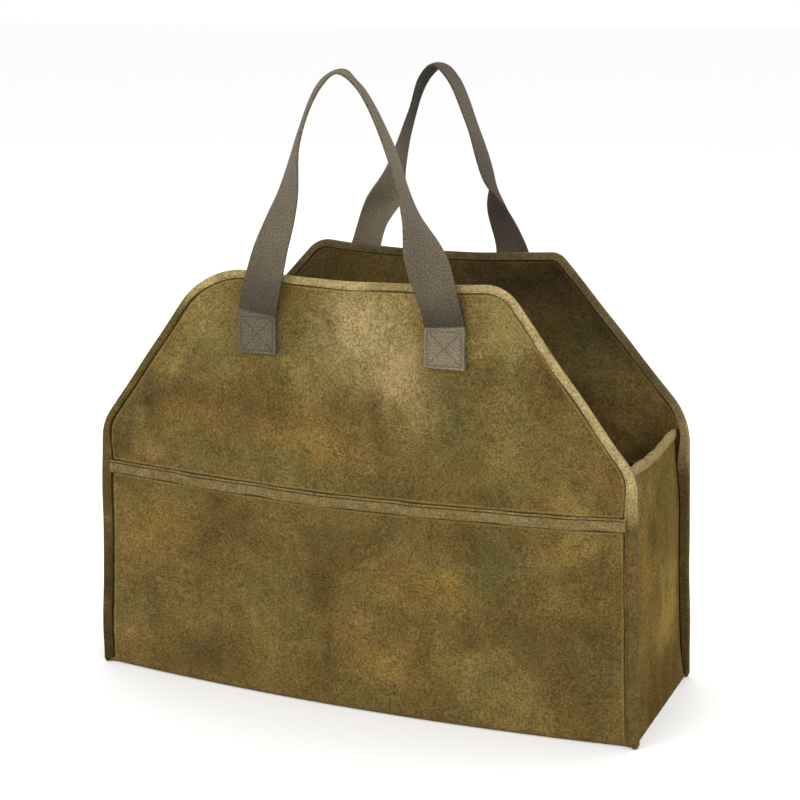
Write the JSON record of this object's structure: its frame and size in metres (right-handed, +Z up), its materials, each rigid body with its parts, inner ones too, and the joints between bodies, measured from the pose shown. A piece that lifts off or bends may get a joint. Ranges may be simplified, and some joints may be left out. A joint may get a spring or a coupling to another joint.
{
  "type": "canvas log carrier",
  "caption": "Free-standing open-topped bag of waxed canvas with trapezoid flaps, bound seams and webbing handles, for carrying firewood.",
  "frame": {"origin": "middle of the underside, where the carrier rests on the floor", "axes": "+Z up, +X along the carrier to the right as seen from the front, -Y towards the front"},
  "size_m": [0.5258, 0.2749, 0.5633],
  "materials": {
    "canvas": "mottled waxed canvas, matte with a faint sheen",
    "tape": "folded cotton tape, matte",
    "webbing": "heathered flat webbing, matte"
  },
  "bodies": {
    "root": {"base_panel": "canvas", "front_flap": "canvas", "rear_flap": "canvas", "left_gusset": "canvas", "right_gusset": "canvas", "front_edge_binding": "tape", "rear_edge_binding": "tape", "left_gusset_binding": "tape", "right_gusset_binding": "tape", "front_seam_band": "tape", "rear_seam_band": "tape", "front_handle": "webbing", "rear_handle": "webbing"}
  },
  "joints": []
}
